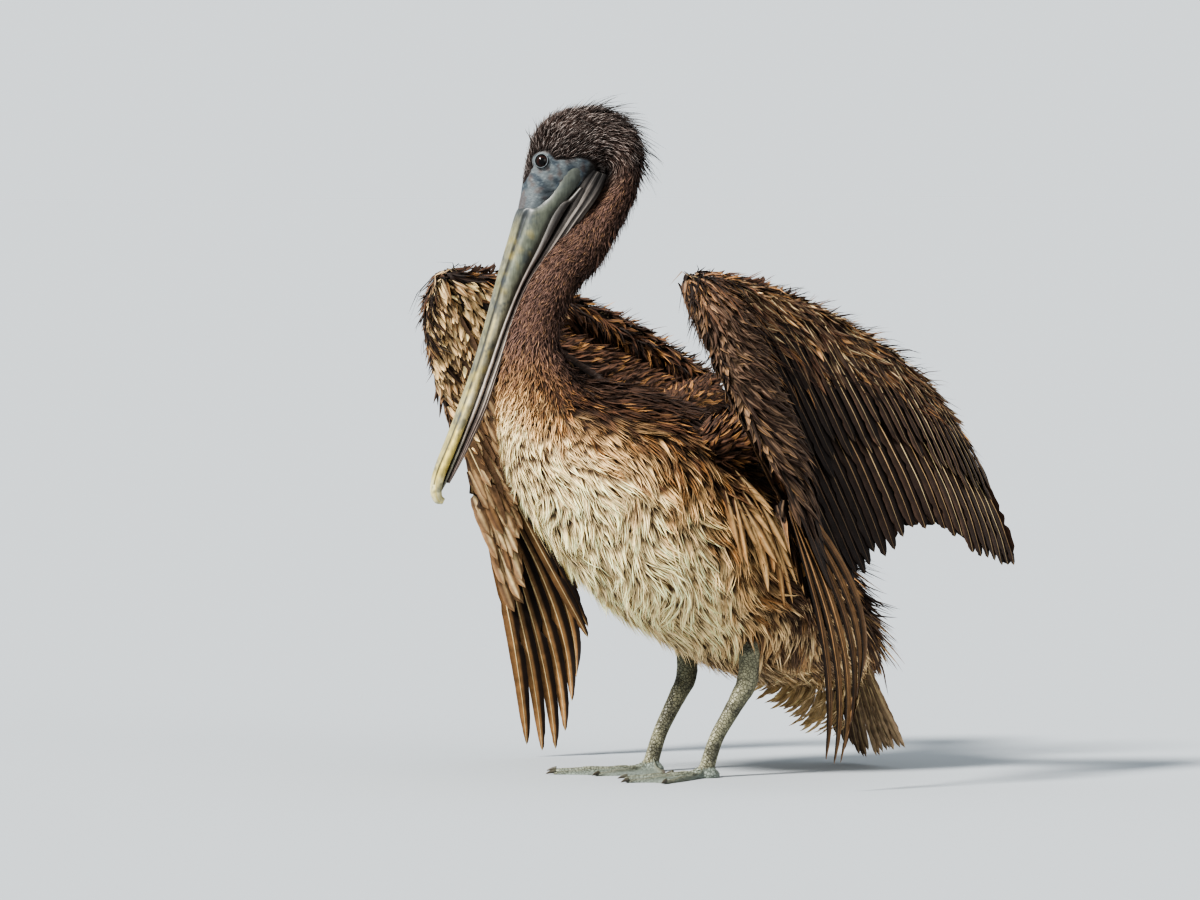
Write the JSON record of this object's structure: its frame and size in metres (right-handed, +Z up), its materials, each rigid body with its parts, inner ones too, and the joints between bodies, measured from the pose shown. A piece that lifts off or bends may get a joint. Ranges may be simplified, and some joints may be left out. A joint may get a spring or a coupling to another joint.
{
  "type": "brown pelican model",
  "caption": "Still life-size brown pelican, standing on webbed feet with its wings half raised, its neck bent and its long bill pointing down.",
  "frame": {"origin": "centre of the bird's box, on the floor under its feet", "axes": "+Z up, the body faces -Y, +X is the bird's left"},
  "size_m": [0.5474, 0.4922, 0.6342],
  "materials": {
    "head_feathers": "soft short feathers",
    "neck_feathers": "soft velvety feathers",
    "body_feathers": "soft pointed feathers",
    "wing_coverts": "soft overlapping feathers",
    "flight_feathers": "stiff feathers with a low sheen",
    "bill_horn": "satin horn",
    "pouch_skin": "folded bare skin",
    "eye": "wet gloss",
    "leg_skin": "scaly skin",
    "foot_skin": "scaly webbed skin"
  },
  "bodies": {
    "root": {"head": "head_feathers", "neck_upper": "neck_feathers", "neck_lower": "neck_feathers", "trunk": "body_feathers", "bill_upper": "bill_horn", "bill_lower": "bill_horn", "pouch": "pouch_skin", "eye_left": "eye", "eye_right": "eye", "tail": "flight_feathers", "wing_arm_left": "wing_coverts", "wing_fold_left": "wing_coverts", "wing_forearm_left": "wing_coverts", "wing_hand_left": "wing_coverts", "secondaries_left": "flight_feathers", "tertials_left": "flight_feathers", "primaries_inner_left": "flight_feathers", "primary_05_left": "flight_feathers", "primary_06_left": "flight_feathers", "primary_07_left": "flight_feathers", "primary_08_left": "flight_feathers", "primary_09_left": "flight_feathers", "primary_10_left": "flight_feathers", "leg_thigh_left": "leg_skin", "leg_shank_left": "leg_skin", "foot_left": "foot_skin", "wing_arm_right": "wing_coverts", "wing_fold_right": "wing_coverts", "wing_forearm_right": "wing_coverts", "wing_hand_right": "wing_coverts", "secondaries_right": "flight_feathers", "tertials_right": "flight_feathers", "primaries_inner_right": "flight_feathers", "primary_05_right": "flight_feathers", "primary_06_right": "flight_feathers", "primary_07_right": "flight_feathers", "primary_08_right": "flight_feathers", "primary_09_right": "flight_feathers", "primary_10_right": "flight_feathers", "leg_thigh_right": "leg_skin", "leg_shank_right": "leg_skin", "foot_right": "foot_skin"}
  },
  "joints": []
}
